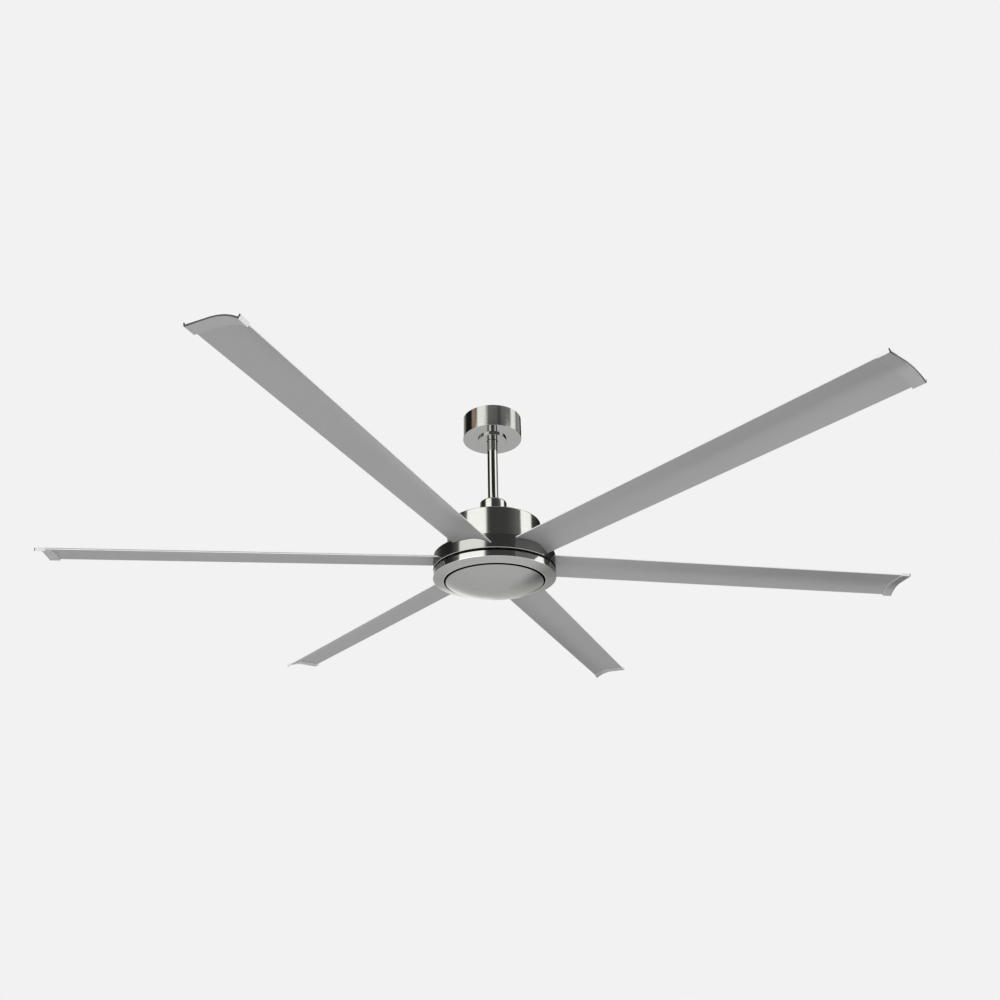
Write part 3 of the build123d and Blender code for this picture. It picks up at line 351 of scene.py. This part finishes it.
# Painted highlights on the ring's and the skirt's edges
ring_highlight = (0.5, 0.5, 0.49)
skirt_highlight = (0.62, 0.62, 0.61)
# Painted highlight on the blades' edges
blade_edge_highlight = (0.92, 0.92, 0.92)
# Painted highlight on the caps' sides and painted shade on their outer ends
cap_side_highlight = (0.88, 0.88, 0.88)
cap_end_shade = (0.01, 0.01, 0.01)

smooth_nickel = brushed("smooth_nickel", nickel, 0.10, 0.4, 0.000001, underside=1.33)
finishes = {
    "polished_nickel": brushed("polished_nickel", rod_nickel, 0.07, 0.3, 0.0000005),
    "blade_aluminium": blade_paint("blade_aluminium", (0.44, 0.44, 0.443), 0.45, 0.35, blade_edge_highlight),
    "cap_aluminium": cap_paint("cap_aluminium", (0.45, 0.45, 0.453), 0.38, 0.4, cap_side_highlight, cap_end_shade),
    "cast_aluminium": plain_metal("cast_aluminium", (0.42, 0.42, 0.43), 0.5, 260.0, 1.0, 0.0001),
    "zinc_steel": plain_metal("zinc_steel", (0.46, 0.46, 0.43), 0.35, 500.0),
    "black_steel": plain_metal("black_steel", (0.012, 0.012, 0.012), 0.45, 600.0, 0.4),
    "bearing_steel": plain_metal("bearing_steel", (0.55, 0.55, 0.56), 0.15, 700.0, 1.0, 0.00001),
    "ball_plastic": plain_metal("ball_plastic", (0.03, 0.03, 0.032), 0.4, 500.0, 0.0),
    "core_steel": plain_metal("core_steel", (0.22, 0.22, 0.23), 0.45, 900.0),
    "copper": plain_metal("copper", (0.60, 0.26, 0.12), 0.35, 800.0, 1.0, 0.0001),
    "magnet": plain_metal("magnet", (0.16, 0.16, 0.17), 0.35, 400.0),
    "board": plain_metal("board", (0.03, 0.16, 0.07), 0.4, 350.0, 0.0),
    "components": plain_metal("components", (0.05, 0.05, 0.06), 0.5, 450.0, 0.0),
}
own_finishes = {
    "canopy": smooth_nickel,
    "canopy_cover": smooth_nickel,
    "motor_housing": brushed("housing_nickel", nickel, 0.13, 0.5, 0.000002, housing_inside, housing_edge),
    "blade_ring": brushed("ring_nickel", ring_nickel, 0.12, 0.4, 0.000002, ring_inside, ring_edge, ring_highlight),
    "lower_ring": brushed("pan_nickel", nickel, 0.10, 0.4, 0.000002, pan_inside, skirt_lip, skirt_highlight,
                          glancing=0.65, underside=1.15),
    "dome": brushed("dome_nickel", nickel, 0.24, 0.3, 0.000001, dome_inside, glancing=0.85),
}
for name, node in nodes.items():
    slot = node.material_slots[0]
    base = slot.material.name.split(".")[0]
    slot.material = own_finishes[name] if name in own_finishes else finishes[base]

# This blade is left out of all reflections, at every pose. A real one would show in them, but the
# photograph's ring and pan mirror the studio straight past it.
nodes["blade_5"].visible_glossy = False

# Camera
camera_data = bpy.data.cameras.new("camera")
camera_data.sensor_width = sensor_width
camera_data.lens = focal_pixels * sensor_width / image_width
camera_data.shift_x = (image_width / 2 - centre_pixel) / image_width
camera = bpy.data.objects.new("camera", camera_data)
turn = Matrix.Rotation(-camera_yaw, 4, "Z") @ Matrix.Rotation(pi / 2 + camera_pitch, 4, "X")
camera.matrix_world = Matrix.Translation(camera_place) @ turn @ Matrix.Rotation(camera_roll, 4, "Z")
bpy.context.scene.collection.objects.link(camera)
bpy.context.scene.camera = camera


def seen_directly(tree):
    """1 for camera, glossy and transmission rays, 0 for those that carry the studio's light."""
    path = tree.nodes.new("ShaderNodeLightPath")
    total = path.outputs["Is Camera Ray"]
    for kind in ("Is Glossy Ray", "Is Transmission Ray"):
        either = tree.nodes.new("ShaderNodeMath")
        either.operation = "MAXIMUM"
        tree.links.new(total, either.inputs[0])
        tree.links.new(path.outputs[kind], either.inputs[1])
        total = either.outputs[0]
    return total


# World: plain light on the object, and the pale background where it is seen
world = bpy.data.worlds.new("studio")
bpy.context.scene.world = world
world.use_nodes = True
world_tree = world.node_tree
lighting = world_tree.nodes["Background"]
lighting.inputs["Color"].default_value = (1, 1, 1, 1)
lighting.inputs["Strength"].default_value = world_strength
backdrop = world_tree.nodes.new("ShaderNodeBackground")
backdrop.inputs["Color"].default_value = (background_level, background_level, background_level, 1)
world_mix = world_tree.nodes.new("ShaderNodeMixShader")
world_tree.links.new(seen_directly(world_tree), world_mix.inputs[0])
world_tree.links.new(lighting.outputs[0], world_mix.inputs[1])
world_tree.links.new(backdrop.outputs[0], world_mix.inputs[2])
world_tree.links.new(world_mix.outputs[0], world_tree.nodes["World Output"].inputs[0])


def stage_mesh(name, points, faces, material):
    """Mesh that belongs to the studio and not to the fan."""
    mesh = bpy.data.meshes.new(name)
    mesh.from_pydata(points, [], faces)
    mesh.materials.append(material)
    thing = bpy.data.objects.new(name, mesh)
    bpy.context.scene.collection.objects.link(thing)
    return thing


# Floor: matt, lifted to the background's level where it is seen, and it keeps the shadow
floor_shader = Shader("floor", floor_colour, 0.0, floor_roughness)
floor_shader.set("Specular IOR Level", 0.0)
floor_lift = background_level - floor_colour[0] * world_strength
floor_shader.set("Emission Color", (floor_lift, floor_lift, floor_lift, 1))
lamp_pool = floor_shader.step(floor_shader.radius(), lamp_pool_outer, lamp_pool_inner)
lift_share = floor_shader.math("SUBTRACT", 1.0, floor_shader.times(lamp_pool, lamp_pool_share))
floor_shader.link(floor_shader.times(seen_directly(floor_shader.tree), lift_share), "Emission Strength")
half = floor_size / 2
floor_corners = [(x * half, y * half, floor_height) for x, y in ((-1, -1), (1, -1), (1, 1), (-1, 1))]
stage_mesh("floor", floor_corners, [(0, 1, 2, 3)], floor_shader.material)


def lamp(name, azimuth, width, height):
    """Soft box that faces the fan from an azimuth, counted from behind the camera to the right."""
    data = bpy.data.lights.new(name, "AREA")
    data.shape = "RECTANGLE"
    data.size = width
    data.size_y = height
    data.energy = lamp_radiance * width * height * pi
    thing = bpy.data.objects.new(name, data)
    side = radians(azimuth)
    rise = radians(lamp_elevation)
    direction = Vector((sin(side) * cos(rise), -cos(side) * cos(rise), sin(rise)))
    thing.location = lamp_aim + direction * lamp_distance
    thing.rotation_euler = direction.to_track_quat("Z", "Y").to_euler()
    thing.visible_camera = False
    thing.visible_glossy = False
    bpy.context.scene.collection.objects.link(thing)


lamp("key", -47, 4.6, 5.0)
lamp("fill", 87, 3.9, 5.0)


def stop_colour(value):
    """Colour of a stop: a number is a brightness in the nickel's tint."""
    return Vector(value) if isinstance(value, tuple) else Vector(nickel_tint) * value


def colour_at(stops, azimuth):
    """Colour of a screen at an azimuth, blended between the stops on either side of it."""
    after = next((index for index, stop in enumerate(stops) if stop[0] >= azimuth), len(stops) - 1)
    before = max(0, after - 1)
    span = stops[after][0] - stops[before][0]
    share = (azimuth - stops[before][0]) / span if span else 0.0
    return stop_colour(stops[before][1]).lerp(stop_colour(stops[after][1]), share)


def glow_material(name):
    """Emission in the colours of the mesh's own points."""
    material = bpy.data.materials.new(name)
    material.use_nodes = True
    tree = material.node_tree
    tree.nodes.remove(tree.nodes["Principled BSDF"])
    colours = tree.nodes.new("ShaderNodeAttribute")
    colours.attribute_name = "glow"
    shine = tree.nodes.new("ShaderNodeEmission")
    tree.links.new(colours.outputs["Color"], shine.inputs["Color"])
    tree.links.new(shine.outputs[0], tree.nodes["Material Output"].inputs[0])
    return material


def screen(name, stops, rows, distance):
    """Curved studio screen that only reflections see, with a point each degree.

    stops: azimuths, counted as for a lamp, each with a brightness or a colour.
    rows: heights, each with the share of that colour; the rest is the floor's level.
    """
    first_azimuth = stops[0][0]
    columns = stops[-1][0] - first_azimuth + 1
    floor_level = Vector((background_level, background_level, background_level))
    points, glow = [], []
    for column in range(columns):
        azimuth = first_azimuth + column
        colour = colour_at(stops, azimuth)
        side = radians(azimuth)
        for height, amount in rows:
            points.append((distance * sin(side), -distance * cos(side), height))
            glow.append(floor_level.lerp(colour, amount))
    count = len(rows)
    faces = []
    for column in range(columns - 1):
        for row in range(count - 1):
            corner = column * count + row
            faces.append((corner, corner + count, corner + count + 1, corner + 1))
    thing = stage_mesh(name, points, faces, glow_material(name))
    attribute = thing.data.color_attributes.new("glow", "FLOAT_COLOR", "POINT")
    for entry, colour in zip(attribute.data, glow):
        entry.color = (*colour, 1)
    thing.visible_camera = False
    thing.visible_diffuse = False
    thing.visible_shadow = False
    thing.visible_transmission = False


def band(low, high, fade=None):
    """Rows of a screen from low to high; fade is a lower height, down to which it blends into the floor."""
    rows = [(low, 1), (high, 1)]
    return rows if fade is None else [(fade, 0)] + rows


# The stops were set so that the metal's bands lie about where the photograph has them.
# Far screens: bright to the left and the right of the camera, dark behind it.
left_wall = [
    (-118, 0.09), (-100, 0.05), (-86, 0.05), (-76, 0.15), (-68, 0.30), (-66, white), (-20, white),
    (-15, 0.20), (-8, dark),
]
right_wall = [(30, 0.10), (50, 0.17), (67, 0.24), (69, white), (102, white), (104, 0.12), (118, dark)]
screen("front", left_wall + right_wall, band(front_split, screen_top), far)
low_stops = [
    (-118, 0.09), (-86, 0.05), (-68, 0.30), (-66, white), (-20, white), (-15, 0.20), (-8, dark),
    (118, dark),
]
screen("front_low", low_stops, band(floor_height, front_split), far)
left_stops = [(-180, 1.6), (-162, 1.6), (-150, 0.8), (-136, 0.42), (-126, 0.2), (-118, 0.09)]
screen("rear_left", left_stops, band(haze_high, screen_top, haze_low), far)
right_stops = [(118, dark), (140, 0.05), (165, 0.05), (176, 0.4), (180, 1.4)]
screen("rear_right", right_stops, band(rear_split, screen_top), far)
low_right_stops = [(118, dark), (140, 0.05), (158, 0.10), (168, 0.6), (180, 1.2)]
screen("low_right", low_right_stops, band(haze_high, rear_split, haze_low), far)
# Dark patch that the dome mirrors at its right
patch_stops = [(104, 0.3), (114, 0.02), (144, 0.02), (152, 0.30), (162, 0.66), (174, background_level)]
screen("dark_patch", patch_stops, band(-1.7, -0.5, -2.5), patch_distance)
# Near screens, each made for one piece: it stands at the heights that the canopy or the rod reflects
canopy_stops = [
    (-180, 0.6), (-168, 2.3), (-158, 2.3), (-150, 1.2), (-136, 0.8), (-127, 0.25), (-119, 0.03), (-86, 0.02),
    (-84, tan), (-70, tan), (-68, 0.25), (-62, 0.3), (-56, 1.8), (-28, 1.75), (-21, 1.0), (-14, 0.30),
    (20, 0.23), (26, 0.11), (32, 0.18), (40, 0.30), (74, 0.30), (82, 1.85), (100, 1.8), (108, 0.35),
    (114, 0.6), (124, 0.75), (140, 0.8), (142, 0.01), (172, 0.01), (180, 0.05),
]
screen("canopy_height", canopy_stops, band(0.62, 1.1), near)
rod_stops = [
    (-180, 1.2), (-160, 1.2), (-146, 0.5), (-136, 0.01), (-95, 0.01), (-88, 0.08), (-72, 0.2), (-62, 2.4),
    (-36, 2.2), (-26, 0.05), (0, 0.04), (42, 0.06), (50, 0.3), (57, 2.5), (82, 2.4), (90, 0.5), (150, 0.4),
    (165, 0.1), (180, 0.6),
]
screen("rod_height", rod_stops, band(0.36, 0.61), near)
# Bands low in front, which the cover mirrors beside the rod
under_stops = [
    (-100, 0.02), (-96, tan), (-74, tan), (-66, 3.0), (-32, 3.0), (-20, 0.10), (60, 0.12), (68, 3.0),
    (104, 2.0),
]
screen("under", under_stops, band(-2.9, -2.25), under_distance)

bpy.context.scene.view_settings.view_transform = "Standard"
